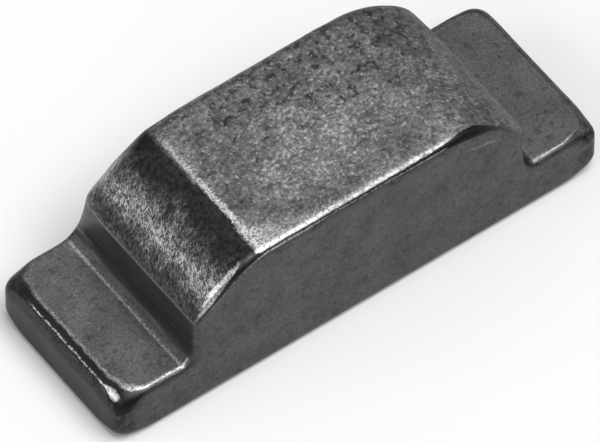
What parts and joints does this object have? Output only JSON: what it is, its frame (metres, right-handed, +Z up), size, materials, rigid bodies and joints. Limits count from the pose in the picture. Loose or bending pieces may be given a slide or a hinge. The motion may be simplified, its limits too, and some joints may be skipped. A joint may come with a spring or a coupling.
{
  "type": "synchronizer key",
  "caption": "Solid steel sliding key for a gearbox synchronizer: a long block with a flat raised crown, curved ramps down to low end tabs and rounded edges.",
  "frame": {"origin": "middle of the flat underside", "axes": "+X along the key from tab to tab, +Y across the flanks, +Z up out of the flat crown"},
  "size_m": [0.02, 0.0068, 0.006],
  "materials": {
    "key_steel": "dark tumbled steel with a speckled crown, burnished ramps and bright worn edges"
  },
  "bodies": {
    "root": {"key": "key_steel"}
  },
  "joints": []
}
